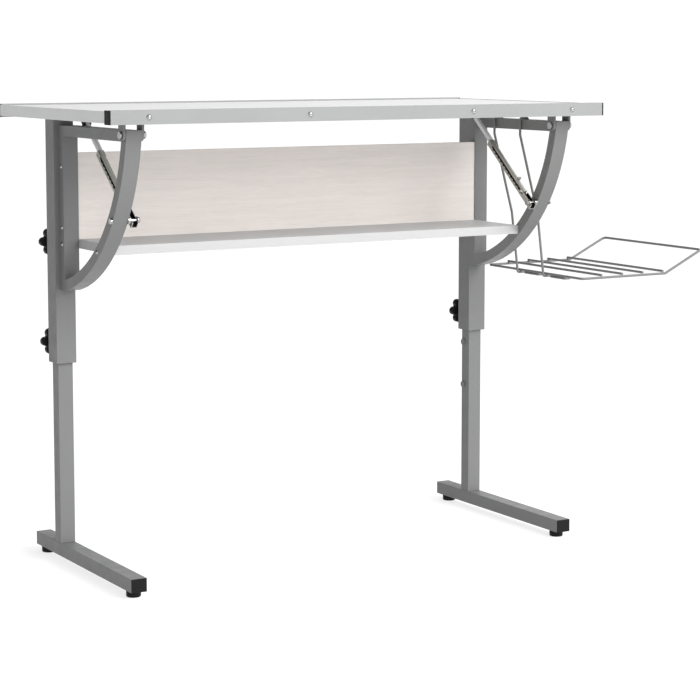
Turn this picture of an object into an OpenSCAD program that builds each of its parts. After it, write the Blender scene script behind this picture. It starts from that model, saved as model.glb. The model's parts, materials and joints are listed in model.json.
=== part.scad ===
// Height-adjustable drafting table with a tilting top, a shelf and a side wire rack.
// Millimetres. +X along the table, -Y towards the user, +Z up, floor at Z = 0.

/* [Tabletop] */
// Length of the top over its end caps
top_len = 1056; // [900:1:1200]
// Depth of the top, front rail face to back rail face
top_depth = 530; // [450:1:650]
// Height of the top face of the rails above the floor, fully raised
top_height = 870; // [820:1:900]
// Height of the rail tube
rail_h = 25; // [20:1:35]
// Depth of the rail tube
rail_d = 20; // [15:1:30]
// Length of the black end cap outside the rail
cap_t = 3.5; // [2:0.5:6]
// Thickness of the wooden top board
board_t = 16; // [12:1:25]
// How far the board lies below the rail tops
board_drop = 2.5; // [0:0.5:5]
// Height of the side edge trim
trim_h = 21; // [16:1:25]

/* [Outer legs] */
// Distance from the table centre to each leg centre
leg_x = 466; // [380:1:500]
// Distance of the leg centres behind the table centre
leg_y = 103; // [60:1:140]
// Side of the square outer tube
outer_w = 40; // [30:1:50]
// Height of the lower end of the outer tube, fully raised
outer_z0 = 384; // [340:1:420]
// Height of the upper clamp knobs, fully raised
knob_z_high = 611; // [580:1:640]
// Height of the lower clamp knobs, fully raised
knob_z_low = 420; // [414:1:440]

/* [Lower legs and feet] */
// Width of the inner tube along X
inner_w = 30; // [24:1:34]
// Depth of the inner tube along Y
inner_d = 27; // [22:1:32]
// Height of the upper end of the inner tube
inner_top = 530; // [470:1:530]
// Height of the foot tube
foot_h = 25; // [20:1:40]
// Gap between the foot tube and the floor
foot_gap = 12; // [8:1:20]
// Front end of the foot, over its cap
foot_front = -233; // [-300:1:-180]
// Back end of the foot, over its cap
foot_back = 211; // [160:1:260]
// Diameter of a leveller
leveller_d = 27; // [20:1:40]
// Distance from each foot end to its leveller
leveller_inset = 25; // [18:1:60]

/* [Side frames] */
// Width of the side frame tube along X
side_w = 30; // [25:1:35]
// Depth of the side frame tube
side_t = 20; // [15:1:25]
// Height of the top face of the top bar
bar_top = 833.5; // [800:0.5:840]
// Outer radius of the curved tube
arc_r = 361; // [300:1:400]
// Height of the centre of the curve
arc_z = 878; // [860:1:900]
// Distance of the centre of the curve behind the table centre
arc_y = 136; // [100:1:170]

/* [Shelf and panel] */
// Thickness of the shelf board
shelf_t = 17; // [12:1:20]
// Height of the upper face of the shelf
shelf_top = 620; // [560:1:660]
// Front edge of the shelf
shelf_front = -95; // [-120:1:-40]
// Thickness of the back panel
panel_t = 16; // [12:1:20]
// Height of the upper edge of the back panel
panel_top = 782; // [700:1:800]

/* [Hinges and stays] */
// Position of the tabletop hinge along Y
hinge_y = -209.5; // [-215:0.5:-205]
// Height of the tabletop hinge
hinge_z = 825; // [822:0.5:828]
// Position of the lower stay pivot along Y
stay_y = -155; // [-160:1:-150]
// Height of the lower stay pivot
stay_z = 670.5; // [665:0.5:676]
// Position of the upper stay pivot along Y
stay_top_y = 48; // [44:1:52]
// Height of the upper stay pivot
stay_top_z = 838; // [836:1:840]
// Distance from the table centre to each stay
stay_x = 434; // [430:1:435]
// Pitch of the stay teeth
tooth_pitch = 11.6; // [8:0.1:14]

/* [Side rack] */
// Diameter of the rack wire
wire_d = 5; // [4:0.5:6]
// Distance from the table centre to the inner wire of the rack
rack_in_x = 511; // [505:1:530]
// Distance from the table centre to the bend of the lip
rack_bend_x = 722; // [650:1:760]
// Distance from the table centre to the tip of the lip
rack_tip_x = 815; // [760:1:850]
// Height of the base wires
rack_z = 519; // [480:1:540]
// Height of the lip tip
rack_tip_z = 563; // [530:1:600]
// Front wire of the rack
rack_front = -224; // [-240:1:-180]
// Back wire of the rack
rack_back = 103; // [60:1:130]
// Position of the back hanger rod along Y
rod_back_y = -12; // [-20:1:0]
// Position of the front hanger rod along Y
rod_front_y = -103; // [-110:1:-95]

/* [Hidden] */
wall = 1.5;
fit_gap = 0.3;
pin_play = 0.05;
eps = 1;
wire_r = wire_d / 2;
// The whole object, rack included, is centred on X = 0
table_x = -(rack_tip_x + wire_r - top_len / 2) / 2;
top_half = top_len / 2;
rail_half = top_half - cap_t;
rail_z0 = top_height - rail_h;
board_z1 = top_height - board_drop;
board_z0 = board_z1 - board_t;
board_half_y = top_depth / 2 - rail_d;
trim_z1 = top_height - 1.5;
// Rail screws stand at both ends, left of the middle and right of it
screw_x_a = 452;
screw_x_b = 132;
screw_x_c = 222;
rail_screw_z = 857.5;
rail_screw_len = 40;
rail_head_r = 5.5;
rail_head_h = 3;
screw_r = 2.5;
// Outer legs
cap_plate = 2.3;
cap_plug = 12;
outer_z1 = board_z0 - 0.2 - cap_plate;
knob_bore_r = 4.6;
stud_r = 4;
bush_z0 = outer_z0 + 2;
bush_h = 26;
bush_play = 0.2;
button_r = 6.5;
button_h = 3;
button_z_high = 357;
button_z_low = 266;
button_y = leg_y + inner_d / 2 - button_r;
nut_h = 5.5;
nut_r = 7.5;
// Lower legs
foot_z1 = foot_gap + foot_h;
foot_cap_t = 2;
foot_plug = 9;
glide_h = 10;
glide_w = outer_w - 2 * wall - 2 * fit_gap;
leveller_front = foot_front + leveller_inset;
leveller_back = foot_back - leveller_inset;
insert_r = 8;
insert_h = 14;
leveller_stud_r = 5;
// Knobs
knob_r = 27;
lobe_r = 8.5;
knob_y0 = leg_y + outer_w / 2 + 13;
knob_t = 17;
stud_tip_y = leg_y + inner_d / 2 + fit_gap;
// Side frames
side_x = leg_x - outer_w / 2 + side_w / 2;
side_in = side_x - side_w / 2;
post_y1 = leg_y - outer_w / 2;
post_y0 = post_y1 - side_t;
post_z0 = arc_z - sqrt(pow(arc_r, 2) - pow(arc_y - post_y0, 2));
bar_z0 = bar_top - side_t;
arc_in = arc_r - side_t;
panel_y0 = post_y0 + 2;
panel_y1 = panel_y0 + panel_t;
shelf_z0 = shelf_top - shelf_t;
side_screw_y = post_y0 + side_t / 2;
side_screw_z = [757, 643, 611.5];
shelf_screw_y = -88;
shelf_screw_z = 610;
side_screw_len = 58;
pan_r = 4.5;
pan_h = 2.5;
// Hinge
hinge_r = 4;
ear_t = 4.5;
ear_r = 11;
ear_in = side_w / 2 + 0.5;
ear_out = ear_in + ear_t;
plate_t = 3;
plate_half = 35;
plate_y0 = -231;
plate_y1 = -187;
plate_z0 = board_z0 - plate_t;
plate_screw_x = 28;
hex_r = 5.5;
hex_h = 5;
under_screw_r = 3;
under_screw_len = 10;
// Stays
stay_r = 3;
chan_half = 6;
chan_wall = 1.4;
chan_low = -9;
chan_high = 3;
chan_start = -10;
chan_end = 184;
slot_start = 26;
slot_end = 168;
tooth_top = -2.6;
tooth_h = 3;
tooth_n = floor((slot_end - slot_start) / tooth_pitch);
arm_half = 4;
arm_len = 230;
arm_tail = 5;
pin_r = 2;
pin_half = 8.5;
tab_at = 66;
stay_dy = stay_top_y - stay_y;
stay_dz = stay_top_z - stay_z;
stay_len = sqrt(pow(stay_dy, 2) + pow(stay_dz, 2));
stay_angle = atan2(stay_dz, stay_dy);
lug_y0 = 38;
lug_y1 = 86;
lug_gap = arm_half + 0.3;
lug_t = 2.5;
// Rack
hook_gap = 0.6;
hook_z = bar_top + wire_r + hook_gap;
rod_top_x = side_in - wire_r - hook_gap;
rod_in_z = 803;
rod_mid_x = 488;
rod_mid_z = 640;
rod_low_x = rack_in_x - wire_d - 2;
rod_low_z = rack_z - wire_d;
hook_x = rod_top_x + 19;
hook_drop = 10;
clip_x = 527;
clip_len = 60;
clip_gap = 14;
frame_bend = 8;
rod_bend = 4;
bend_swell = 0.05;
bend_lap = 0.4;
cross_first = 560;
cross_step = 52;

paint = [0.45, 0.46, 0.455];
rail_paint = [0.72, 0.73, 0.73];
white = [0.93, 0.93, 0.93];
black = [0.06, 0.06, 0.06];
steel = [0.72, 0.72, 0.71];
zinc = [0.62, 0.62, 0.58];

// Node to show

// Helpers -------------------------------------------------------------------

module place() translate([table_x, 0, 0]) children();

// Box from its lowest corner to its highest corner
module box(a, b) translate(a) cube([b[0] - a[0], b[1] - a[1], b[2] - a[2]]);

// Cylinder along X
module rod_x(x0, x1, y, z, r) {
  translate([x0, y, z]) rotate([0, 90, 0]) cylinder(h = x1 - x0, r = r, $fn = 48);
}

// Cylinder along Y
module rod_y(y0, y1, x, z, r) {
  translate([x, y0, z]) rotate([-90, 0, 0]) cylinder(h = y1 - y0, r = r, $fn = 48);
}

// Cylinder along Z
module rod_z(z0, z1, x, y, r) {
  translate([x, y, z0]) cylinder(h = z1 - z0, r = r, $fn = 48);
}

function unit(v) = v / norm(v);

// How far a bend of radius rb at point b reaches along both of its straights
function reach(a, b, c, rb) = rb * tan(acos(unit(b - a) * unit(c - b)) / 2);

// Straight wire between two points
module wire(a, b) {
  d = b - a;
  n = norm(d);
  translate(a) rotate([0, acos(d[2] / n), atan2(d[1], d[0])]) cylinder(h = n, r = wire_r, $fn = 32);
}

// Bend of radius rb at point b, between wires that come from a and leave to c.
// It is a little thicker than the wire, whose straights end just inside it
module bend(a, b, c, rb) {
  u = unit(b - a);
  turn = acos(u * unit(c - b));
  axis = unit(cross(u, c - b));
  out = cross(u, axis);
  o = b - u * reach(a, b, c, rb) - out * rb;
  multmatrix([
      [out[0], u[0], axis[0], o[0]],
      [out[1], u[1], axis[1], o[1]],
      [out[2], u[2], axis[2], o[2]]])
    rotate_extrude(angle = turn, $fn = 96) translate([rb, 0])
      circle(r = wire_r + bend_swell, $fn = 32);
}

// Round wire along a path of points, bent to radius rb at each corner
module bent_wire(path, rb, closed = false) {
  n = len(path);
  ends = closed ? 1 : 2;
  for (i = [0 : n - ends]) {
    z = path[(i + n - 1) % n];
    a = path[i];
    b = path[(i + 1) % n];
    c = path[(i + 2) % n];
    first = !closed && i == 0;
    last = !closed && i == n - 2;
    wire(a + unit(b - a) * (first ? 0 : reach(z, a, b, rb) - bend_lap),
      b - unit(b - a) * (last ? 0 : reach(a, b, c, rb) - bend_lap));
    if (!last) bend(a, b, c, rb);
  }
}

// Flat outline in the Y-Z plane, thickened along X from x0 to x1
module plate_x(x0, x1) {
  translate([x0, 0, 0]) rotate([90, 0, 90]) linear_extrude(height = x1 - x0) children();
}

// Children as drawn for the right side, and mirrored to the left side
module both_sides() {
  children();
  mirror([1, 0, 0]) children();
}

// Tabletop ------------------------------------------------------------------

module top_board() {
  color(white) place() difference() {
    box([-rail_half, -board_half_y, board_z0], [rail_half, board_half_y, board_z1]);
    rail_screw_shafts(pin_play);
    bracket_screw_shafts(pin_play);
  }
}

module rail_tube() {
  difference() {
    box([-rail_half, -top_depth / 2, rail_z0], [rail_half, -board_half_y, top_height]);
    box([-rail_half - eps, -top_depth / 2 + wall, rail_z0 + wall],
      [rail_half + eps, -board_half_y - wall, top_height - wall]);
    rail_screw_shafts(pin_play);
  }
}

module front_rail() color(rail_paint) place() rail_tube();

module back_rail() color(rail_paint) place() mirror([0, 1, 0]) rail_tube();

module edge_trim(x0) {
  box([x0, -board_half_y, trim_z1 - trim_h], [x0 + cap_t, board_half_y, trim_z1]);
}

module left_edge_trim() color(rail_paint) place() edge_trim(-top_half);

module right_edge_trim() color(rail_paint) place() edge_trim(rail_half);

module rail_end_cap() {
  box([rail_half, -top_depth / 2, rail_z0], [top_half, -board_half_y, top_height]);
  box([rail_half - cap_plug, -top_depth / 2 + wall + 0.1, rail_z0 + wall + 0.1],
    [rail_half + eps, -board_half_y - wall - 0.1, top_height - wall - 0.1]);
}

module rail_end_caps() {
  color(black) place() both_sides() {
    rail_end_cap();
    mirror([0, 1, 0]) rail_end_cap();
  }
}

module rail_screw_shafts(play) {
  for (x = [-screw_x_a, -screw_x_b, screw_x_c, screw_x_a]) {
    rod_y(-top_depth / 2 - eps, -top_depth / 2 + rail_screw_len, x, rail_screw_z, screw_r + play);
    rod_y(top_depth / 2 - rail_screw_len, top_depth / 2 + eps, x, rail_screw_z, screw_r + play);
  }
}

module domed_head(x) {
  translate([x, -top_depth / 2, rail_screw_z]) rotate([90, 0, 0]) intersection() {
    translate([0, 0, rail_head_h - 7]) sphere(r = 7, $fn = 48);
    cylinder(h = rail_head_h + eps, r = rail_head_r, $fn = 48);
  }
  rod_y(-top_depth / 2 - 0.2, -top_depth / 2 + rail_screw_len - eps, x, rail_screw_z, screw_r);
}

module rail_screws() {
  color(steel) place() for (x = [-screw_x_a, -screw_x_b, screw_x_c, screw_x_a]) {
    domed_head(x);
    mirror([0, 1, 0]) domed_head(x);
  }
}

module hinge_ear(x0) {
  plate_x(x0, x0 + ear_t) {
    translate([hinge_y, hinge_z]) circle(r = ear_r, $fn = 64);
    translate([hinge_y - ear_r, hinge_z]) square([2 * ear_r, plate_z0 - hinge_z + 0.5]);
  }
}

module hinge_bracket() {
  difference() {
    union() {
      box([side_x - plate_half, plate_y0, plate_z0], [side_x + plate_half, plate_y1, board_z0]);
      hinge_ear(side_x - ear_out);
      hinge_ear(side_x + ear_in);
    }
    rod_x(side_x - ear_out - eps, side_x + ear_out + eps, hinge_y, hinge_z, hinge_r + pin_play);
    bracket_screw_shafts(pin_play);
  }
}

module left_hinge_bracket() color(paint) place() mirror([1, 0, 0]) hinge_bracket();

module right_hinge_bracket() color(paint) place() hinge_bracket();

module stay_lug() {
  difference() {
    union() {
      box([stay_x - lug_gap - lug_t, lug_y0, board_z0 - lug_t],
        [stay_x + lug_gap + lug_t, lug_y1, board_z0]);
      for (x = [stay_x - lug_gap - lug_t, stay_x + lug_gap]) {
        plate_x(x, x + lug_t) {
          translate([stay_top_y, stay_top_z]) circle(r = 7, $fn = 48);
          polygon([[stay_top_y - 7, stay_top_z], [stay_top_y + 7, stay_top_z - 1],
            [lug_y1 - 10, board_z0 - lug_t + 0.5], [stay_top_y - 7, board_z0 - lug_t + 0.5]]);
        }
      }
    }
    rod_x(stay_x - 20, stay_x + 20, stay_top_y, stay_top_z, stay_r + pin_play);
    bracket_screw_shafts(pin_play);
  }
}

// The two brackets under the board that hold the upper ends of the stays
module stay_lugs() color(black) place() both_sides() stay_lug();

module bracket_screw_shafts(play) {
  both_sides() {
    for (x = [side_x - plate_screw_x, side_x + plate_screw_x])
      rod_z(plate_z0 - eps, board_z0 + under_screw_len, x, hinge_y, under_screw_r + play);
    rod_z(board_z0 - lug_t - eps, board_z0 + under_screw_len, stay_x, lug_y1 - 8, under_screw_r + play);
  }
}

module hex_screw(x, y, z0, z1) {
  translate([x, y, z0 - hex_h]) cylinder(h = hex_h, r = hex_r, $fn = 6);
  rod_z(z0 - 0.5, z1, x, y, under_screw_r);
}

module bracket_screws() {
  color(steel) place() both_sides() {
    for (x = [side_x - plate_screw_x, side_x + plate_screw_x])
      hex_screw(x, hinge_y, plate_z0, board_z0 + under_screw_len - eps);
    hex_screw(stay_x, lug_y1 - 8, board_z0 - lug_t, board_z0 + under_screw_len - eps);
  }
}

// Side frames ---------------------------------------------------------------

module side_screw_holes() {
  for (z = side_screw_z) rod_x(side_in - 30, side_in + 60, side_screw_y, z, screw_r + pin_play);
  rod_x(side_in - 30, side_in + 60, shelf_screw_y, shelf_screw_z, screw_r + pin_play);
}

module side_post() {
  difference() {
    box([side_in, post_y0, post_z0], [side_in + side_w, post_y1, bar_top]);
    box([side_in + wall, post_y0 + wall, post_z0 + wall],
      [side_in + side_w - wall, post_y1 - wall, bar_top - wall]);
    side_screw_holes();
  }
}

module left_side_post() color(paint) place() mirror([1, 0, 0]) side_post();

module right_side_post() color(paint) place() side_post();

module arc_disc(r, x0, x1) {
  translate([x0, arc_y, arc_z]) rotate([0, 90, 0]) cylinder(h = x1 - x0, r = r, $fn = 180);
}

module top_bar() {
  difference() {
    intersection() {
      box([side_in, -arc_r, bar_z0], [side_in + side_w, post_y0, bar_top]);
      arc_disc(arc_in, side_in - eps, side_in + side_w + eps);
    }
    intersection() {
      box([side_in + wall, -arc_r, bar_z0 + wall],
        [side_in + side_w - wall, post_y0 - wall, bar_top - wall]);
      arc_disc(arc_in - wall, side_in - eps, side_in + side_w + eps);
    }
    for (y = [rod_back_y, rod_front_y]) rod_z(bar_top - 5, bar_top + eps, hook_x, y, wire_r + 1.3);
  }
}

module left_top_bar() color(paint) place() mirror([1, 0, 0]) top_bar();

module right_top_bar() color(paint) place() top_bar();

module curved_tube() {
  difference() {
    intersection() {
      arc_disc(arc_r, side_in, side_in + side_w);
      box([side_in, arc_y - arc_r - eps, post_z0 - 20], [side_in + side_w, post_y0, bar_top]);
    }
    arc_disc(arc_in, side_in - eps, side_in + side_w + eps);
    intersection() {
      difference() {
        arc_disc(arc_r - wall, side_in + wall, side_in + side_w - wall);
        arc_disc(arc_in + wall, side_in + wall - eps, side_in + side_w - wall + eps);
      }
      box([side_in, arc_y - arc_r, post_z0 - 20], [side_in + side_w, post_y0 - wall, bar_top - wall]);
    }
    rod_x(side_in - eps, side_in + side_w + eps, hinge_y, hinge_z, hinge_r + pin_play);
    rod_x(side_in - eps, side_in + side_w + eps, stay_y, stay_z, stay_r + pin_play);
    side_screw_holes();
  }
}

module left_curved_tube() color(paint) place() mirror([1, 0, 0]) curved_tube();

module right_curved_tube() color(paint) place() curved_tube();

module hinge_bolt() {
  rod_x(side_x - ear_out - 3.4, side_x + ear_out + 8, hinge_y, hinge_z, hinge_r);
  rod_x(side_x - ear_out - 3.8, side_x - ear_out - 0.3, hinge_y, hinge_z, 7);
}

module hinge_nut() {
  difference() {
    translate([side_x + ear_out + fit_gap, hinge_y, hinge_z]) rotate([0, 90, 0])
      cylinder(h = 6, r = 7.2, $fn = 6);
    rod_x(side_x + ear_out - eps, side_x + ear_out + 9, hinge_y, hinge_z, hinge_r + pin_play);
  }
}

// The two hinge bolts with their nuts, heads on the left as seen from the front
module hinge_bolts() {
  color(steel) place() for (x = [0, -2 * side_x]) translate([x, 0, 0]) {
    hinge_bolt();
    hinge_nut();
  }
}

// Outer legs ----------------------------------------------------------------

module outer_leg() {
  difference() {
    box([leg_x - outer_w / 2, leg_y - outer_w / 2, outer_z0],
      [leg_x + outer_w / 2, leg_y + outer_w / 2, outer_z1]);
    box([leg_x - outer_w / 2 + wall, leg_y - outer_w / 2 + wall, outer_z0 - eps],
      [leg_x + outer_w / 2 - wall, leg_y + outer_w / 2 - wall, outer_z1 + eps]);
    for (z = [knob_z_high, knob_z_low]) rod_y(leg_y, leg_y + outer_w / 2 + eps, leg_x, z, knob_bore_r);
  }
}

module left_outer_leg() color(paint) place() mirror([1, 0, 0]) outer_leg();

module right_outer_leg() color(paint) place() outer_leg();

module outer_leg_cap() {
  box([leg_x - outer_w / 2, leg_y - outer_w / 2, outer_z1],
    [leg_x + outer_w / 2, leg_y + outer_w / 2, outer_z1 + cap_plate]);
  box([leg_x - outer_w / 2 + wall, leg_y - outer_w / 2 + wall, outer_z1 - cap_plug],
    [leg_x + outer_w / 2 - wall, leg_y + outer_w / 2 - wall, outer_z1 + 0.5]);
}

module outer_leg_caps() color(black) place() both_sides() outer_leg_cap();

module leg_bushing() {
  x0 = leg_x - outer_w / 2 + wall;
  difference() {
    box([x0, leg_y - outer_w / 2 + wall, bush_z0],
      [leg_x + outer_w / 2 - wall, leg_y + outer_w / 2 - wall, bush_z0 + bush_h]);
    box([leg_x - inner_w / 2 - bush_play, leg_y - inner_d / 2 - bush_play, bush_z0 - eps],
      [leg_x + inner_w / 2 + bush_play, leg_y + inner_d / 2 + bush_play, bush_z0 + bush_h + eps]);
    box([x0 - eps, button_y - button_r - 1, bush_z0 - eps],
      [leg_x - inner_w / 2, button_y + button_r + 1, bush_z0 + bush_h + eps]);
  }
}

module leg_bushings() color(black) place() both_sides() leg_bushing();

module knob_nut(z) {
  y0 = leg_y + outer_w / 2;
  difference() {
    translate([leg_x, y0, z]) rotate([-90, 0, 0]) cylinder(h = nut_h, r = nut_r, $fn = 6);
    rod_y(y0 - eps, y0 + nut_h + eps, leg_x, z, stud_r + pin_play);
  }
}

module knob_nuts() {
  color(paint) place() both_sides() {
    knob_nut(knob_z_high);
    knob_nut(knob_z_low);
  }
}

module knob(x, z) {
  translate([x, knob_y0, z]) rotate([-90, 0, 0]) {
    difference() {
      union() {
        cylinder(h = knob_t - 3, r = knob_r - lobe_r + 1, $fn = 72);
        for (k = [0 : 5]) rotate([0, 0, 60 * k]) translate([knob_r - lobe_r, 0, 0])
          cylinder(h = knob_t - 3, r = lobe_r, $fn = 48);
        translate([0, 0, knob_t - 3]) cylinder(h = 3, r1 = knob_r - lobe_r, r2 = 14, $fn = 72);
        translate([0, 0, -6]) cylinder(h = 6.5, r = 10, $fn = 48);
      }
      translate([0, 0, -6 - eps]) cylinder(h = 14 + eps, r = stud_r + pin_play, $fn = 48);
    }
  }
}

module knob_stud(x, z) rod_y(stud_tip_y, knob_y0 + 8, x, z, stud_r);

module left_upper_knob() color(black) place() knob(-leg_x, knob_z_high);

module left_lower_knob() color(black) place() knob(-leg_x, knob_z_low);

module right_upper_knob() color(black) place() knob(leg_x, knob_z_high);

module right_lower_knob() color(black) place() knob(leg_x, knob_z_low);

module left_upper_stud() color(steel) place() knob_stud(-leg_x, knob_z_high);

module left_lower_stud() color(steel) place() knob_stud(-leg_x, knob_z_low);

module right_upper_stud() color(steel) place() knob_stud(leg_x, knob_z_high);

module right_lower_stud() color(steel) place() knob_stud(leg_x, knob_z_low);

// Shelf and panel -----------------------------------------------------------

module shelf_board() {
  color(white) place() difference() {
    box([-side_in, shelf_front, shelf_z0], [side_in, panel_y1, shelf_top]);
    both_sides() side_screw_holes();
  }
}

module back_panel() {
  color(white) place() difference() {
    box([-side_in, panel_y0, shelf_top], [side_in, panel_y1, panel_top]);
    both_sides() side_screw_holes();
  }
}

module side_screw(y, z) {
  rod_x(side_in + side_w - side_screw_len, side_in + side_w + 0.2, y, z, screw_r);
  rod_x(side_in + side_w, side_in + side_w + pan_h, y, z, pan_r);
}

module side_screws() {
  color(steel) place() both_sides() {
    for (z = side_screw_z) side_screw(side_screw_y, z);
    side_screw(shelf_screw_y, shelf_screw_z);
  }
}

// Stays ---------------------------------------------------------------------

// Stay axis along local +X, its open side up, moved to the lower pivot of the right stay
module stay_frame() {
  translate([stay_x, stay_y, stay_z]) rotate([stay_angle, 0, 0]) rotate([0, 0, 90]) children();
}

// Flange outline: x along the stay, y away from its web
module flange_outline() {
  difference() {
    translate([chan_start, chan_low]) square([chan_end - chan_start, chan_high - chan_low]);
    translate([slot_start, tooth_top]) square([slot_end - slot_start, chan_high - tooth_top + eps]);
    for (k = [0 : tooth_n - 1]) translate([slot_start + tooth_pitch * k, 0])
      polygon([[1, tooth_top + eps], [tooth_pitch - 4, tooth_top - tooth_h],
        [tooth_pitch - 1.5, tooth_top + eps]]);
    circle(r = stay_r + pin_play, $fn = 48);
  }
}

module lower_stay() {
  stay_frame() rotate([90, 0, 0]) {
    for (z = [-chan_half, chan_half - chan_wall])
      translate([0, 0, z]) linear_extrude(height = chan_wall) flange_outline();
    translate([chan_start, chan_low, -chan_half]) cube([chan_end - chan_start, chan_wall, 2 * chan_half]);
  }
}

module left_lower_stay() color(zinc) place() mirror([1, 0, 0]) lower_stay();

module right_lower_stay() color(zinc) place() lower_stay();

module upper_stay() {
  a = stay_len - arm_len;
  difference() {
    union() {
      stay_frame() {
        translate([a - arm_tail, -arm_half, -arm_half])
          cube([arm_len + 2 * arm_tail, 2 * arm_half, 2 * arm_half]);
        translate([tab_at - 6, -arm_half, arm_half - 0.2]) cube([3, 2 * arm_half, 7.5]);
      }
      stay_frame() rotate([90, 0, 0]) translate([a, 0, -pin_half])
        cylinder(h = 2 * pin_half, r = pin_r, $fn = 36);
    }
    rod_x(stay_x - 20, stay_x + 20, stay_top_y, stay_top_z, stay_r + pin_play);
  }
}

module left_upper_stay() color(rail_paint) place() mirror([1, 0, 0]) upper_stay();

module right_upper_stay() color(rail_paint) place() upper_stay();

module stay_bolt() {
  rod_x(stay_x - chan_half - 6, side_in + side_w + 0.5, stay_y, stay_z, stay_r);
  rod_x(side_in + side_w + 0.2, side_in + side_w + 4, stay_y, stay_z, 5.5);
}

module stay_pins() {
  x = lug_gap + lug_t + 1.5;
  color(steel) place() both_sides() rod_x(stay_x - x, stay_x + x, stay_top_y, stay_top_z, stay_r);
}

module stay_bolts() color(steel) place() both_sides() stay_bolt();

module bored_ring(x0, x1, r, sides) {
  difference() {
    translate([x0, stay_y, stay_z]) rotate([0, 90, 0]) cylinder(h = x1 - x0, r = r, $fn = sides);
    rod_x(x0 - eps, x1 + eps, stay_y, stay_z, stay_r + pin_play);
  }
}

// Spacer, washer and nut on each stay bolt
module stay_nuts() {
  color(steel) place() both_sides() {
    bored_ring(stay_x + chan_half + fit_gap, side_in, 6.5, 48);
    bored_ring(stay_x - chan_half - fit_gap - 1.2, stay_x - chan_half - fit_gap, 7, 48);
    bored_ring(stay_x - chan_half - fit_gap - 5.2, stay_x - chan_half - fit_gap - 1.2, 5.8, 6);
  }
}

// Lower legs ----------------------------------------------------------------

module inner_leg(x) {
  difference() {
    box([x - inner_w / 2, leg_y - inner_d / 2, foot_z1], [x + inner_w / 2, leg_y + inner_d / 2, inner_top]);
    box([x - inner_w / 2 + wall, leg_y - inner_d / 2 + wall, foot_z1 - eps],
      [x + inner_w / 2 - wall, leg_y + inner_d / 2 - wall, inner_top + eps]);
  }
}

module left_inner_leg() color(paint) place() inner_leg(-leg_x);

module right_inner_leg() color(paint) place() inner_leg(leg_x);

module foot(x) {
  difference() {
    box([x - inner_w / 2, foot_front + foot_cap_t, foot_gap],
      [x + inner_w / 2, foot_back - foot_cap_t, foot_z1]);
    box([x - inner_w / 2 + wall, foot_front, foot_gap + wall],
      [x + inner_w / 2 - wall, foot_back, foot_z1 - wall]);
    for (y = [leveller_front, leveller_back]) rod_z(foot_gap - eps, foot_gap + wall + eps, x, y, insert_r);
  }
}

module left_foot() color(paint) place() foot(-leg_x);

module right_foot() color(paint) place() foot(leg_x);

module foot_cap(x) {
  box([x - inner_w / 2, foot_front, foot_gap], [x + inner_w / 2, foot_front + foot_cap_t, foot_z1]);
  box([x - inner_w / 2 + wall, foot_front + 1, foot_gap + wall],
    [x + inner_w / 2 - wall, foot_front + foot_cap_t + foot_plug, foot_z1 - wall]);
}

module foot_caps(x) {
  foot_cap(x);
  translate([0, foot_front + foot_back, 0]) mirror([0, 1, 0]) foot_cap(x);
}

module left_foot_caps() color(black) place() foot_caps(-leg_x);

module right_foot_caps() color(black) place() foot_caps(leg_x);

module leg_glide(x) {
  difference() {
    union() {
      box([x - glide_w / 2, leg_y - glide_w / 2, inner_top],
        [x + glide_w / 2, leg_y + glide_w / 2, inner_top + glide_h]);
      box([x - inner_w / 2 + wall, leg_y - inner_d / 2 + wall, inner_top - 14],
        [x + inner_w / 2 - wall, leg_y + inner_d / 2 - wall, inner_top + 1]);
    }
    box([x - 6, stud_tip_y - fit_gap, inner_top - eps],
      [x + 6, leg_y + outer_w, inner_top + glide_h + eps]);
  }
}

module left_leg_glide() color(black) place() leg_glide(-leg_x);

module right_leg_glide() color(black) place() leg_glide(leg_x);

module leg_buttons() {
  x1 = leg_x - inner_w / 2;
  for (z = [button_z_high, button_z_low]) rod_x(x1 - button_h, x1, button_y, z, button_r);
}

module left_leg_buttons() color(paint) place() mirror([1, 0, 0]) leg_buttons();

module right_leg_buttons() color(paint) place() leg_buttons();

module leveller_insert(x, y) {
  difference() {
    union() {
      rod_z(foot_gap, foot_gap + insert_h, x, y, insert_r - 0.1);
      rod_z(foot_gap + wall, foot_gap + wall + 2, x, y, insert_r + 3);
    }
    rod_z(foot_gap - eps, foot_gap + insert_h + eps, x, y, leveller_stud_r + pin_play);
  }
}

module left_leveller_inserts() {
  color(black) place() {
    leveller_insert(-leg_x, leveller_front);
    leveller_insert(-leg_x, leveller_back);
  }
}

module right_leveller_inserts() {
  color(black) place() {
    leveller_insert(leg_x, leveller_front);
    leveller_insert(leg_x, leveller_back);
  }
}

module leveller(x, y) {
  translate([x, y, 0]) {
    cylinder(h = 1, r1 = leveller_d / 2 - 1, r2 = leveller_d / 2, $fn = 72);
    translate([0, 0, 1]) cylinder(h = foot_gap - 1 - fit_gap, r = leveller_d / 2, $fn = 72);
    cylinder(h = foot_gap + insert_h - 1, r = leveller_stud_r, $fn = 48);
  }
}

module left_front_leveller() color(black) place() leveller(-leg_x, leveller_front);

module left_back_leveller() color(black) place() leveller(-leg_x, leveller_back);

module right_front_leveller() color(black) place() leveller(leg_x, leveller_front);

module right_back_leveller() color(black) place() leveller(leg_x, leveller_back);

// Side rack -----------------------------------------------------------------

module rack_frame() {
  color(paint) place() bent_wire([
      [rack_in_x, rack_front, rack_z],
      [rack_bend_x, rack_front, rack_z],
      [rack_tip_x, rack_front, rack_tip_z],
      [rack_tip_x, rack_back, rack_tip_z],
      [rack_bend_x, rack_back, rack_z],
      [rack_in_x, rack_back, rack_z]], frame_bend, closed = true);
}

module rack_cross_wires() {
  z = rack_z + wire_d;
  color(paint) place() for (k = [0 : 3]) translate([cross_first + cross_step * k, 0, z])
    wire([0, rack_front, 0], [0, rack_back, 0]);
}

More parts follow.
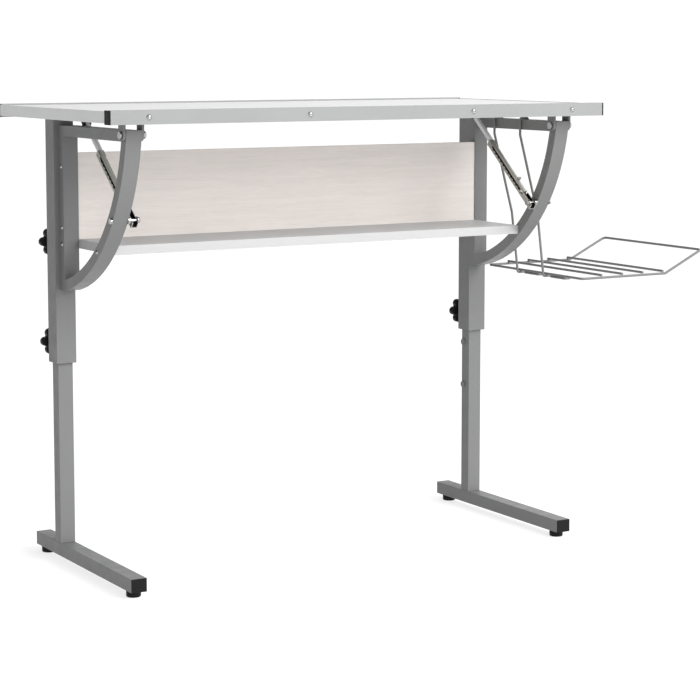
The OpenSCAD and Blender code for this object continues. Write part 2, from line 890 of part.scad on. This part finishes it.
module rack_hanger(y) {
  bent_wire([
      [hook_x, y, hook_z - hook_drop],
      [hook_x, y, hook_z],
      [rod_top_x, y, hook_z],
      [rod_top_x, y, rod_in_z],
      [rod_mid_x, y, rod_mid_z],
      [rod_low_x, y, rod_low_z],
      [clip_x, y, rod_low_z],
      [clip_x, y - clip_len, rod_low_z],
      [clip_x - clip_gap, y - clip_len, rod_low_z],
      [clip_x - clip_gap, y - clip_gap, rod_low_z]], rod_bend);
}

module rack_hangers() {
  color(paint) place() {
    rack_hanger(rod_back_y);
    rack_hanger(rod_front_y);
  }
}

top_board();
front_rail();
back_rail();
left_edge_trim();
right_edge_trim();
rail_end_caps();
rail_screws();
left_hinge_bracket();
right_hinge_bracket();
stay_lugs();
bracket_screws();
hinge_bolts();
stay_pins();
left_outer_leg();
right_outer_leg();
outer_leg_caps();
leg_bushings();
knob_nuts();
left_side_post();
left_top_bar();
left_curved_tube();
right_side_post();
right_top_bar();
right_curved_tube();
shelf_board();
back_panel();
side_screws();
stay_bolts();
stay_nuts();
left_lower_stay();
right_lower_stay();
left_upper_stay();
right_upper_stay();
left_upper_knob();
left_lower_knob();
right_upper_knob();
right_lower_knob();
left_upper_stud();
left_lower_stud();
right_upper_stud();
right_lower_stud();
left_inner_leg();
left_foot();
left_foot_caps();
left_leg_glide();
left_leg_buttons();
left_leveller_inserts();
left_front_leveller();
left_back_leveller();
right_inner_leg();
right_foot();
right_foot_caps();
right_leg_glide();
right_leg_buttons();
right_leveller_inserts();
right_front_leveller();
right_back_leveller();
rack_frame();
rack_cross_wires();
rack_hangers();
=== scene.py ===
"""Looks of the drafting table: procedural materials, detailed small pieces, camera and light."""
import json
import math

import bmesh
import bpy
from mathutils import Matrix, Vector


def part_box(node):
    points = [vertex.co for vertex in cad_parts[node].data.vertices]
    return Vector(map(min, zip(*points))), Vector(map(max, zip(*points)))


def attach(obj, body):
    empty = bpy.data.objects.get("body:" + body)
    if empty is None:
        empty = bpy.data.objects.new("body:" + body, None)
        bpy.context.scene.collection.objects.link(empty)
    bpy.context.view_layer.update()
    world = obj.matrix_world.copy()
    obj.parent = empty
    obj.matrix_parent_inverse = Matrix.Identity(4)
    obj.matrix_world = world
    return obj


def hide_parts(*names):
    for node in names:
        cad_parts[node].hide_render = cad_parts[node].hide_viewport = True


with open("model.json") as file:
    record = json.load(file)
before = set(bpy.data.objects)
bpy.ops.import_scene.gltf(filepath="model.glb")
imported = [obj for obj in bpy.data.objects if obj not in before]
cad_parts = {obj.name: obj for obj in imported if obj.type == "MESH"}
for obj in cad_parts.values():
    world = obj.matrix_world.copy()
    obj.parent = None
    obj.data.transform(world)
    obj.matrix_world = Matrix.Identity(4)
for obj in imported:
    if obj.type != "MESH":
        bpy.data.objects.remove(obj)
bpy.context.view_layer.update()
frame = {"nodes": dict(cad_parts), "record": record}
NODES = frame["nodes"]
SLOT_OF = {s["node"]: s["material_slot"] for s in frame["record"]["subparts"]}
MM = 0.001


# Materials -------------------------------------------------------------------

# Range in which most values of a noise texture lie
NOISE_LOW = 0.3
NOISE_HIGH = 0.7


class Shader:
    """A node material around one Principled shader, textured in object coordinates."""

    def __init__(self, name, color, rough, metallic=0.0, specular=0.5):
        self.mat = bpy.data.materials.new(name)
        self.mat.use_nodes = True
        self.tree = self.mat.node_tree
        self.bsdf = self.tree.nodes["Principled BSDF"]
        self.color = color
        self.rough = rough
        self.bsdf.inputs["Base Color"].default_value = (*color, 1)
        self.bsdf.inputs["Roughness"].default_value = rough
        self.bsdf.inputs["Metallic"].default_value = metallic
        self.bsdf.inputs["Specular IOR Level"].default_value = specular
        self.coord = self.tree.nodes.new("ShaderNodeTexCoord").outputs["Object"]

    def node(self, kind, operation=None):
        made = self.tree.nodes.new(kind)
        if operation:
            made.operation = operation
        return made

    def link(self, output, socket):
        self.tree.links.new(output, socket)

    def noise(self, scale, detail, stretch=(1, 1, 1)):
        """Noise of a given scale in object space, drawn out along an axis by the stretch."""
        mapping = self.node("ShaderNodeMapping")
        mapping.inputs["Scale"].default_value = stretch
        self.link(self.coord, mapping.inputs["Vector"])
        texture = self.node("ShaderNodeTexNoise")
        texture.inputs["Scale"].default_value = scale
        texture.inputs["Detail"].default_value = detail
        self.link(mapping.outputs["Vector"], texture.inputs["Vector"])
        return texture.outputs["Fac"]

    def spread(self, fac, low, high):
        """The middle range of a noise, stretched to run from low to high."""
        remap = self.node("ShaderNodeMapRange")
        remap.inputs["From Min"].default_value = NOISE_LOW
        remap.inputs["From Max"].default_value = NOISE_HIGH
        remap.inputs["To Min"].default_value = low
        remap.inputs["To Max"].default_value = high
        self.link(fac, remap.inputs["Value"])
        return remap.outputs["Result"]

    def tint(self, facs_and_depths):
        """Base colour darkened by each factor, down to 1 - depth."""
        last = None
        for fac, depth in facs_and_depths:
            shade = self.spread(fac, 1 - depth, 1.0)
            if last is None:
                last = shade
            else:
                product = self.node("ShaderNodeMath", "MULTIPLY")
                self.link(last, product.inputs[0])
                self.link(shade, product.inputs[1])
                last = product.outputs[0]
        scaled = self.node("ShaderNodeVectorMath", "SCALE")
        scaled.inputs[0].default_value = self.color
        self.link(last, scaled.inputs["Scale"])
        self.link(scaled.outputs["Vector"], self.bsdf.inputs["Base Color"])

    def roughen(self, fac, amount):
        varied = self.spread(fac, self.rough - amount, self.rough + amount)
        self.link(varied, self.bsdf.inputs["Roughness"])

    def bump(self, layers):
        """Stacked bumps, each (height factor, height in metres)."""
        normal = None
        for fac, height in layers:
            relief = self.node("ShaderNodeBump")
            relief.inputs["Strength"].default_value = 1.0
            relief.inputs["Distance"].default_value = height
            self.link(fac, relief.inputs["Height"])
            if normal is not None:
                self.link(normal, relief.inputs["Normal"])
            normal = relief.outputs["Normal"]
        self.link(normal, self.bsdf.inputs["Normal"])


def powder_coat(name, color, rough=0.42, gloss=0.3):
    """Satin powder coat: orange peel about 1 mm wide, faint cloudiness."""
    look = Shader(name, color, rough, specular=gloss)
    peel = look.noise(900, 2)
    cloud = look.noise(9, 4)
    look.tint([(cloud, 0.05), (look.noise(2600, 1), 0.03)])
    look.roughen(look.noise(40, 5), 0.07)
    look.bump([(peel, 0.00004)])
    return look.mat


def melamine(name, color, rough=0.38, depth=0.03):
    """Melamine board with an embossed wood pore that runs along X."""
    look = Shader(name, color, rough)
    pore = look.noise(900, 4, (0.05, 1, 1))
    band = look.noise(110, 5, (0.06, 1, 1))
    look.tint([(pore, depth), (band, depth)])
    look.roughen(pore, 0.06)
    look.bump([(pore, 0.00005)])
    return look.mat


def plastic(name, color, rough):
    """Moulded plastic with a spark-eroded grain about 0.4 mm wide."""
    look = Shader(name, color, rough, specular=0.12)
    grain = look.noise(2600, 3)
    look.tint([(look.noise(30, 4), 0.2)])
    look.roughen(look.noise(60, 4), 0.08)
    look.bump([(grain, 0.00003)])
    return look.mat


def metal(name, color, rough):
    """Plated steel with a fine grain and small tonal patches."""
    look = Shader(name, color, rough, metallic=1.0)
    grain = look.noise(1400, 3)
    look.tint([(look.noise(160, 4), 0.10), (grain, 0.06)])
    look.roughen(grain, 0.06)
    look.bump([(grain, 0.00001)])
    return look.mat


LOOKS = {
    "white_board": melamine("white_melamine", (0.645, 0.65, 0.645)),
    "panel_board": melamine("panel_melamine", (0.755, 0.70, 0.668), 0.5, 0.07),
    "rail_grey": powder_coat("light_grey_coat", (0.272, 0.277, 0.275), 0.38),
    "stay_grey": powder_coat("stay_grey_coat", (0.68, 0.69, 0.685), 0.45),
    "leg_grey": powder_coat("mid_grey_coat", (0.168, 0.171, 0.169)),
    "zinc_steel": metal("zinc_plate", (0.52, 0.515, 0.48), 0.4),
    "bright_steel": metal("nickel_plate", (0.42, 0.42, 0.42), 0.16),
    # The black coat also serves as painted shade inside the stay channels and on the arms' sunk flanks
    "black_metal": powder_coat("black_coat_and_painted_shade", (0.010, 0.010, 0.010), 0.45, 0.12),
    "black_plastic": plastic("black_plastic", (0.010, 0.010, 0.010), 0.42),
}
OWN_LOOK = {
    # The shelf is the same white board as the top, drawn darker as painted shade under the tabletop
    "shelf_board": melamine("shelf_melamine_painted_shade", (0.44, 0.44, 0.44), 0.5),
    "left_edge_trim": powder_coat("trim_coat", (0.68, 0.69, 0.685), 0.5),
}
OWN_LOOK["right_edge_trim"] = OWN_LOOK["left_edge_trim"]


# CAD nodes -------------------------------------------------------------------

WELD_GAP = 1e-6
FLAT_ANGLE = math.radians(0.4)
SHARP_ANGLE = math.radians(35)


def soften(obj, width):
    """Rounds the sharp edges of a CAD node with modifiers; its own mesh stays as it is."""
    mesh = obj.data
    normals = mesh.attributes.get("custom_normal")
    if normals is not None:
        mesh.attributes.remove(normals)
    mesh.polygons.foreach_set("use_smooth", [True] * len(mesh.polygons))
    weld = obj.modifiers.new("weld", "WELD")
    weld.merge_threshold = WELD_GAP
    flat = obj.modifiers.new("flat", "DECIMATE")
    flat.decimate_type = "DISSOLVE"
    flat.angle_limit = FLAT_ANGLE
    bevel = obj.modifiers.new("bevel", "BEVEL")
    bevel.width = width
    bevel.segments = 2
    bevel.limit_method = "ANGLE"
    bevel.angle_limit = SHARP_ANGLE
    bevel.harden_normals = True
    bevel.use_clamp_overlap = True


# Edge rounding in millimetres; other nodes get the plain edge
PLAIN_EDGE = 0.5
EDGE = {"top_board": 0.4, "front_rail": 0.8, "back_rail": 0.8, "rail_end_caps": 1.0, "outer_leg_caps": 0.8,
        "left_outer_leg": 1.5, "right_outer_leg": 1.5, "left_inner_leg": 1.5, "right_inner_leg": 1.5,
        "left_foot": 1.5, "right_foot": 1.5}
for name, obj in NODES.items():
    obj.data.materials.clear()
    obj.data.materials.append(OWN_LOOK.get(name) or LOOKS[SLOT_OF[name]])
    if name.startswith("rack"):
        obj.data.polygons.foreach_set("use_smooth", [True] * len(obj.data.polygons))
    else:
        soften(obj, EDGE.get(name, PLAIN_EDGE) * MM)


# Half the clear width between the flanges of a stay channel, with a little to spare; faces within it get
# painted shade
CHANNEL_INSIDE = 4.62 * MM


def paint_shade_inside(side):
    """Makes the inner faces of a stay channel black as painted shade, so that its teeth stand out; a look
    only.
    """
    channel = NODES[f"{side}_lower_stay"]
    low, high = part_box(f"{side}_lower_stay")
    middle_x = (low.x + high.x) / 2
    # Faces inside the channel take this black as painted shade
    channel.data.materials.append(LOOKS["black_metal"])
    turn = channel.matrix_world.to_3x3()
    for polygon in channel.data.polygons:
        centre = channel.matrix_world @ polygon.center
        normal = turn @ polygon.normal
        flange = abs(normal.x) > 0.9 and normal.x * (middle_x - centre.x) > 0
        web = abs(normal.x) < 0.1 and normal.y < -0.5 and normal.z > 0.5
        if (flange or web) and abs(centre.x - middle_x) < CHANNEL_INSIDE:
            polygon.material_index = 1
    channel.modifiers["flat"].delimit = {"NORMAL", "MATERIAL"}


for side in ("left", "right"):
    paint_shade_inside(side)


# Small pieces ----------------------------------------------------------------
# Each takes its place and overall size from the CAD node that it stands for. Sizes that a box can't give
# repeat the values in part.scad. What is marked as a look has no counterpart there.

def parts_of(node):
    """Boxes (low, high) of the separate parts of a CAD node, in a fixed order."""
    obj = NODES[node]
    points = [obj.matrix_world @ v.co for v in obj.data.vertices]
    group = list(range(len(points)))

    def root(index):
        while group[index] != index:
            group[index] = group[group[index]]
            index = group[index]
        return index

    seen = {}
    for index, point in enumerate(points):
        first = seen.setdefault(tuple(round(c, 6) for c in point), index)
        group[root(index)] = root(first)
    for edge in obj.data.edges:
        group[root(edge.vertices[0])] = root(edge.vertices[1])
    parts = {}
    for index, point in enumerate(points):
        parts.setdefault(root(index), []).append(point)
    boxes = []
    for part in parts.values():
        coords = list(zip(*part))
        boxes.append((Vector([min(c) for c in coords]), Vector([max(c) for c in coords])))
    return sorted(boxes, key=lambda box: tuple(round(c, 5) for c in box[0]))


def turned(bm, at, direction, rings, count):
    """Adds a closed turned shape: rings of (height, radius or radius of angle) from end to end."""
    axis = Vector(direction).normalized()
    other = Vector((0, 0, 1)) if abs(axis.z) < 0.9 else Vector((1, 0, 0))
    first = other.cross(axis).normalized()
    second = axis.cross(first)
    loops = []
    for height, radius in rings:
        loop = []
        for k in range(count):
            angle = 2 * math.pi * k / count
            reach = radius(angle) if callable(radius) else radius
            outward = (first * math.cos(angle) + second * math.sin(angle)) * reach
            loop.append(bm.verts.new(Vector(at) + axis * height + outward))
        loops.append(loop)
    for lower, upper in zip(loops, loops[1:]):
        for k in range(count):
            after = (k + 1) % count
            bm.faces.new((lower[k], lower[after], upper[after], upper[k]))
    bm.faces.new(list(reversed(loops[0])))
    bm.faces.new(loops[-1])


def object_from(bm, name, looks):
    """Turns a bmesh into an object with the given materials."""
    bmesh.ops.recalc_face_normals(bm, faces=bm.faces)
    mesh = bpy.data.meshes.new(name)
    bm.to_mesh(mesh)
    bm.free()
    obj = bpy.data.objects.new(name, mesh)
    bpy.context.scene.collection.objects.link(obj)
    for look in looks:
        mesh.materials.append(look)
    return obj


def finish_piece(bm, name, slot_name, body, nodes, looks=None, angle=40):
    """Makes a piece that rides on a body and stands for CAD nodes; edges above the angle stay sharp."""
    obj = object_from(bm, name, looks or [LOOKS[slot_name]])
    obj.data.polygons.foreach_set("use_smooth", [True] * len(obj.data.polygons))
    bpy.ops.object.select_all(action="DESELECT")
    bpy.context.view_layer.objects.active = obj
    obj.select_set(True)
    bpy.ops.object.shade_smooth_by_angle(angle=math.radians(angle))
    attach(obj, body)
    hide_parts(*nodes)


def hexagon(across):
    """Radius of a hexagon at an angle, from its width across flats."""
    def radius(angle):
        return across / 2 / math.cos((angle + math.pi / 6) % (math.pi / 3) - math.pi / 6)
    return radius


# Screws: shaft, head heights and the radius of the rail screws' dome
SHAFT_R = 2.5 * MM
RAIL_HEAD = 3 * MM
RAIL_DOME_R = 7 * MM
SIDE_HEAD = 2.5 * MM
# Looks: shaft tip, dome angle of the side screws, and the share of the dome that the socket's opening takes
TIP_H = 0.5 * MM
TIP_TAPER = 0.8
SIDE_DOME = math.radians(55)
DOME_RINGS = 6
DOME_STOP = 0.28
# Looks: hexagon socket, its width per opening radius, and (depth in millimetres, share of the width)
SOCKET_WIDTH = 1.55
SOCKET_RIM = 0.66
SOCKET_PROFILE = ((0.15, 1.0), (1.4, 1.0), (1.6, 0.5))
SCREW_SIDES = 36


def headed_screw(bm, box, axis, sign, head_h, dome_r=None):
    """Screw along X or Y with a domed head and a hexagon socket at its sign end."""
    low, high = box
    head_r = (high.z - low.z) / 2
    length = high[axis] - low[axis]
    at = (low + high) / 2
    at[axis] = (high if sign > 0 else low)[axis] - sign * head_h
    direction = [0, 0, 0]
    direction[axis] = sign
    dome = math.asin(min(1, head_r / dome_r)) if dome_r else SIDE_DOME
    rim = math.cos(dome)
    rings = [(head_h - length, SHAFT_R * TIP_TAPER), (head_h - length + TIP_H, SHAFT_R)]
    rings += [(0, SHAFT_R), (0, head_r)]
    for k in range(1, DOME_RINGS + 1):
        angle = dome * (1 - k / DOME_RINGS * (1 - DOME_STOP))
        rise = (math.cos(angle) - rim) / (math.cos(dome * DOME_STOP) - rim)
        rings.append((head_h * rise, head_r * math.sin(angle) / math.sin(dome)))
    top, opening = rings[-1]
    socket = opening * SOCKET_WIDTH
    rings.append((top, socket * SOCKET_RIM))
    rings += [(top - depth * MM, hexagon(socket * share)) for depth, share in SOCKET_PROFILE]
    turned(bm, at, direction, rings, SCREW_SIDES)


def rail_screws():
    """Domed screws along the front and back rails."""
    bm = bmesh.new()
    for box in parts_of("rail_screws"):
        outwards = 1 if box[1].y > 0 else -1
        headed_screw(bm, box, 1, outwards, RAIL_HEAD, RAIL_DOME_R)
    finish_piece(bm, "rail_screw_set", "bright_steel", "tabletop", ["rail_screws"])


def side_screws():
    """Screws that hold the shelf and the back panel, with their heads outwards."""
    bm = bmesh.new()
    low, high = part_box("side_screws")
    for box in parts_of("side_screws"):
        outwards = 1 if box[0].x > (low.x + high.x) / 2 else -1
        headed_screw(bm, box, 0, outwards, SIDE_HEAD)
    finish_piece(bm, "side_screw_set", "bright_steel", "upper_frame", ["side_screws"])


# Clamp knobs: collar, six round lobes on a round core, and the bore for the stud
BORE_R = 4.05 * MM
BORE_DEPTH = 14 * MM
COLLAR_R = 10 * MM
COLLAR_H = 6 * MM
LOBES = 6
LOBE_AT = 18.5 * MM
LOBE_R = 8.5 * MM
CORE_R = 19.5 * MM
LOBE_TOP = 20 * MM
# Looks: rounded edges and valleys; the profile is (height above the collar, inset) in millimetres
COLLAR_EDGE = 0.5 * MM
VALLEY_BLEND = 1.2 * MM
LOBE_PROFILE = (
    (0, 2.0), (0.4, 0.8), (1.2, 0.2), (2.4, 0.0),
    (11.0, 0.0), (12.4, 0.3), (13.4, 1.0), (14.0, 2.2),
)
# Looks: cap above the lobes with a sunk ring, as (depth below the top, radius) in millimetres
CAP_START_R = 18.0 * MM
CAP_PROFILE = ((0.5, 14.6), (0, 13.8), (0, 12.6), (0.6, 12.2), (0.6, 10.4), (0, 10.0), (0, 4))
KNOB_SIDES = 144


def lobed(inset):
    """Radius of the knob's outline at an angle, drawn in by an inset."""
    def radius(angle):
        turn = (angle + math.pi / LOBES) % (2 * math.pi / LOBES) - math.pi / LOBES
        under = LOBE_R ** 2 - (LOBE_AT * math.sin(turn)) ** 2
        lobe = LOBE_AT * math.cos(turn) + math.sqrt(under) if under > 0 else 0
        gap = abs(lobe - CORE_R)
        fillet = (VALLEY_BLEND - gap) ** 2 / (4 * VALLEY_BLEND) if gap < VALLEY_BLEND else 0
        return max(lobe, CORE_R) + fillet - inset
    return radius


def star_knob(side, level, place):
    """One clamp knob, its axis along Y, from the collar's end to the cap."""
    node = f"{side}_{level}_knob"
    low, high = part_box(node)
    full = high.y - low.y
    rings = [(BORE_DEPTH, BORE_R * 0.98), (BORE_DEPTH, BORE_R), (0, BORE_R), (0, COLLAR_R - COLLAR_EDGE),
             (COLLAR_EDGE, COLLAR_R), (COLLAR_H, COLLAR_R)]
    rings += [(COLLAR_H + height * MM, lobed(inset * MM)) for height, inset in LOBE_PROFILE]
    rings.append((LOBE_TOP, CAP_START_R))
    rings += [(full - depth * MM, radius * MM) for depth, radius in CAP_PROFILE]
    bm = bmesh.new()
    turned(bm, ((low.x + high.x) / 2, low.y, (low.z + high.z) / 2), (0, 1, 0), rings, KNOB_SIDES)
    finish_piece(bm, f"{side}_{level}_star_knob", "black_plastic", f"knob_{side}_{place}", [node])


# Levellers: top of the rim above the floor, and the stud that goes up into the foot
RIM_TOP = 11.7 * MM
STUD_R = 5 * MM
# Looks: rim edges, as (distance from the rim's bottom or top, how far it is drawn in) in millimetres
RIM_BOTTOM_EDGE = ((0, 1.6), (0.35, 0.8), (1.2, 0.4))
RIM_TOP_EDGE = ((0.6, 0.5), (0, 1.4))
# Looks: ribs round the rim, and the stud's thread and tip
RIBS = 28
RIB_DEPTH = 0.2 * MM
RIB_START = 2.2 * MM
RIB_END = 1.6 * MM
THREAD_START = 0.3 * MM
THREAD_PITCH = 1.5 * MM
THREAD_DEPTH = 0.5 * MM
STUD_TIP = 0.8 * MM
FOOT_SIDES = 112


def levelling_foot(side, end):
    """One leveller, standing on the floor."""
    node = f"{side}_{end}_leveller"
    low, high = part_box(node)
    outer = (high.x - low.x) / 2

    def ribbed(angle):
        return outer - RIB_DEPTH + RIB_DEPTH * math.cos(RIBS * angle)

    rings = [(height * MM, outer - inset * MM) for height, inset in RIM_BOTTOM_EDGE]
    rings += [(RIB_START, ribbed), (RIM_TOP - RIB_END, ribbed)]
    rings += [(RIM_TOP - depth * MM, outer - inset * MM) for depth, inset in RIM_TOP_EDGE]
    rings.append((RIM_TOP, STUD_R))
    height = RIM_TOP + THREAD_START
    while height + THREAD_PITCH < high.z:
        rings += [(height, STUD_R), (height + THREAD_PITCH / 2, STUD_R - THREAD_DEPTH)]
        height += THREAD_PITCH
    rings += [(height, STUD_R), (high.z, STUD_R - STUD_TIP)]
    bm = bmesh.new()
    turned(bm, ((low.x + high.x) / 2, (low.y + high.y) / 2, 0), (0, 0, 1), rings, FOOT_SIDES)
    finish_piece(bm, f"{side}_{end}_levelling_foot", "black_plastic", f"leveller_{side}_{end}", [node])


# Stay arms: square bar with a tab, a cross pin and a bore for the upper pivot
ARM_HALF = 4 * MM
ARM_LEN = 230 * MM
ARM_TAIL = 5 * MM
TAB_AT = 60 * MM
TAB_T = 3 * MM
TAB_TOP = 11.3 * MM
TAB_SINK = 0.2 * MM
PIN_R = 2 * MM
PIN_HALF = 8.5 * MM
PIVOT_R = 3.05 * MM
CHANNEL_END = 184 * MM
# Looks: rounded edges, and recesses in the flanks behind the channel's teeth, coloured black as painted
# shade
ARM_EDGE = 0.6 * MM
PIN_EDGE = 0.4 * MM
FLANK_TOP = 0.2 * MM
FLANK_LOW = -3.9 * MM
FLANK_DEPTH = 0.6 * MM
FLANK_START = 6 * MM
FLANK_STOP = 10 * MM
# How far cutting tools reach past the bar
FLANK_OVER = 2 * MM
BORE_OVER = 1 * MM
BORE_SIDES = 48
PIN_SIDES = 36


def slab(bm, along, across, up):
    """Adds a block from its (low, high) extents in the stay's own frame."""
    spans = (along, across, up)
    for corner in bmesh.ops.create_cube(bm, size=1)["verts"]:
        corner.co = Vector([(a + b) / 2 + c * (b - a) for (a, b), c in zip(spans, corner.co)])


def cut_from(target, bm, look):
    """Cuts a bmesh from an object with a modifier; the cut faces take the look. Returns the tool."""
    tool = object_from(bm, "cutter", [look])
    cut = target.modifiers.new("cut", "BOOLEAN")
    cut.operation = "DIFFERENCE"
    cut.solver = "EXACT"
    cut.material_mode = "TRANSFER"
    cut.object = tool
    return tool


def arm_bar(pin_at, length):
    """Bar with a bore at its upper pivot and sunk flanks in painted shade; materials 0 zinc, 1 black
    painted shade, 2 paint.
    """
    bm = bmesh.new()
    square = (-ARM_HALF, ARM_HALF)
    slab(bm, (pin_at - ARM_TAIL, length + ARM_TAIL), square, square)
    bmesh.ops.bevel(bm, geom=bm.edges[:], offset=ARM_EDGE, segments=3, affect="EDGES", profile=0.5)
    bar = object_from(bm, "bar", [LOOKS["zinc_steel"]])
    # The sunk flanks take the black coat as painted shade
    flanks = bmesh.new()
    for way in (-1, 1):
        sunk = sorted((way * (ARM_HALF - FLANK_DEPTH), way * (ARM_HALF + FLANK_OVER)))
        slab(flanks, (pin_at + FLANK_START, CHANNEL_END - FLANK_STOP), sunk, (FLANK_LOW, FLANK_TOP))
    bore = bmesh.new()
    hole = [(0, PIVOT_R), (2 * ARM_HALF + 2 * BORE_OVER, PIVOT_R)]
    turned(bore, (length, -ARM_HALF - BORE_OVER, 0), (0, 1, 0), hole, BORE_SIDES)
    tools = [cut_from(bar, flanks, LOOKS["black_metal"]), cut_from(bar, bore, LOOKS["zinc_steel"])]
    bpy.context.view_layer.update()
    done = bpy.data.meshes.new_from_object(bar.evaluated_get(bpy.context.evaluated_depsgraph_get()))
    # Index of the black painted shade among the cut bar's materials
    dark = [m.name for m in done.materials].index(LOOKS["black_metal"].name)
    for leftover in tools + [bar]:
        bpy.data.objects.remove(leftover)
    bm = bmesh.new()
    bm.from_mesh(done)
    bmesh.ops.bisect_plane(bm, geom=bm.verts[:] + bm.edges[:] + bm.faces[:],
                           plane_co=(CHANNEL_END, 0, 0), plane_no=(1, 0, 0))
    for face in bm.faces:
        if face.material_index == dark:
            face.material_index = 1
        else:
            face.material_index = 2 if face.calc_center_median().x > CHANNEL_END else 0
    return bm


def stay_arm(side, lower, upper):
    """Arm along the line from the lower to the upper pivot of one stay, with its tab and cross pin."""
    along = (upper - lower).normalized()
    lateral = Vector((1, 0, 0))
    stay_frame = Matrix((along, lateral, lateral.cross(along))).transposed().to_4x4()
    stay_frame.translation = lower
    length = (upper - lower).length
    pin_at = length - ARM_LEN
    bm = arm_bar(pin_at, length)
    slab(bm, (TAB_AT, TAB_AT + TAB_T), (-ARM_HALF, ARM_HALF), (ARM_HALF - TAB_SINK, TAB_TOP))
    turned(bm, (pin_at, -PIN_HALF, 0), (0, 1, 0),
           [(0, PIN_R - PIN_EDGE), (PIN_EDGE, PIN_R), (2 * PIN_HALF - PIN_EDGE, PIN_R),
            (2 * PIN_HALF, PIN_R - PIN_EDGE)], PIN_SIDES)
    bmesh.ops.transform(bm, matrix=stay_frame, verts=bm.verts)
    finish_piece(bm, f"{side}_stay_arm_bar", "stay_grey", f"{side}_stay_arm", [f"{side}_upper_stay"],
                 [LOOKS["zinc_steel"], LOOKS["black_metal"], LOOKS["stay_grey"]], 50)


def middles(node):
    """Centres of the separate parts of a CAD node, from the left."""
    return [(low + high) / 2 for low, high in parts_of(node)]


rail_screws()
side_screws()
for side in ("left", "right"):
    star_knob(side, "upper", "high")
    star_knob(side, "lower", "low")
for side in ("left", "right"):
    levelling_foot(side, "front")
    levelling_foot(side, "back")
for side, pin, bolt in zip(("left", "right"), middles("stay_pins"), middles("stay_bolts")):
    stay_arm(side, Vector((pin.x, bolt.y, bolt.z)), pin)


# Camera, light and floor -------------------------------------------------------

# Camera fitted to the photo: lens in millimetres, place in metres, angles in degrees
LENS = 108.167
SHIFT = -0.1
CAMERA_AT = (-2.146234, -3.580219, 0.976235)
CAMERA_DOWN = 6.2894
CAMERA_TURN = -30.4891

camera = bpy.data.objects.new("camera", bpy.data.cameras.new("camera"))
bpy.context.scene.collection.objects.link(camera)
camera.data.lens = LENS
camera.data.sensor_width = 36
camera.data.shift_y = SHIFT
camera.data.clip_end = 100
camera.location = CAMERA_AT
camera.rotation_euler = (math.radians(90 - CAMERA_DOWN), 0, math.radians(CAMERA_TURN))
bpy.context.scene.camera = camera


def area_light(name, at, target, size, power):
    """A soft square lamp at a point, turned to a target."""
    lamp = bpy.data.lights.new(name, "AREA")
    lamp.shape = "SQUARE"
    lamp.size = size
    lamp.energy = power
    obj = bpy.data.objects.new(name, lamp)
    bpy.context.scene.collection.objects.link(obj)
    obj.location = at
    obj.rotation_euler = (Vector(target) - Vector(at)).to_track_quat("-Z", "Y").to_euler()


area_light("key", (1.6, -4.2, 3.6), (0, 0, 0.5), 3.4, 260)


# Strength of the plain white that the camera sees, just above 1 so that it stays white
SEEN_WHITE = 1.05


def studio_world(lobes):
    """Light from all round, as lobes of (direction, strength, sharpness); the camera sees plain white."""
    world = bpy.data.worlds.new("studio")
    bpy.context.scene.world = world
    world.use_nodes = True
    tree = world.node_tree
    node = tree.nodes.new
    link = tree.links.new
    direction = node("ShaderNodeTexCoord").outputs["Generated"]
    total = None
    for axis, strength, sharpness in lobes:
        dot = node("ShaderNodeVectorMath")
        dot.operation = "DOT_PRODUCT"
        dot.inputs[1].default_value = axis
        link(direction, dot.inputs[0])
        last = dot.outputs["Value"]
        for operation, value in (("MAXIMUM", 0.0), ("POWER", sharpness), ("MULTIPLY", strength)):
            step = node("ShaderNodeMath")
            step.operation = operation
            step.inputs[1].default_value = value
            link(last, step.inputs[0])
            last = step.outputs[0]
        if total is not None:
            both = node("ShaderNodeMath")
            link(total, both.inputs[0])
            link(last, both.inputs[1])
            last = both.outputs[0]
        total = last
    lit = tree.nodes["Background"]
    lit.inputs["Color"].default_value = (1, 1, 1, 1)
    link(total, lit.inputs["Strength"])
    seen = node("ShaderNodeBackground")
    seen.inputs["Color"].default_value = (1, 1, 1, 1)
    seen.inputs["Strength"].default_value = SEEN_WHITE
    mix = node("ShaderNodeMixShader")
    link(node("ShaderNodeLightPath").outputs["Is Camera Ray"], mix.inputs[0])
    link(lit.outputs[0], mix.inputs[1])
    link(seen.outputs[0], mix.inputs[2])
    link(mix.outputs[0], tree.nodes["World Output"].inputs[0])


studio_world([
    ((1, 0, 0), 1.67, 1.0),
    ((0, -1, 0), 1.38, 1.0),
    ((0, 1, 0), 0.2, 1.0),
    ((0, 0, 1), 0.44, 3.0),
])
bpy.context.scene.view_settings.view_transform = "Standard"

# Pale floor, lit partly by its own glow so that it reads as white
FLOOR_SIZE = 60
FLOOR_GREY = (0.35, 0.35, 0.35)
FLOOR_GLOW = 0.72

bpy.ops.mesh.primitive_plane_add(size=FLOOR_SIZE, location=(0, 0, 0))
floor = bpy.context.object
floor.name = "floor"
pale = Shader("pale_floor", FLOOR_GREY, 0.9, specular=0.1)
pale.bsdf.inputs["Emission Color"].default_value = (1, 1, 1, 1)
pale.bsdf.inputs["Emission Strength"].default_value = FLOOR_GLOW
floor.data.materials.append(pale.mat)
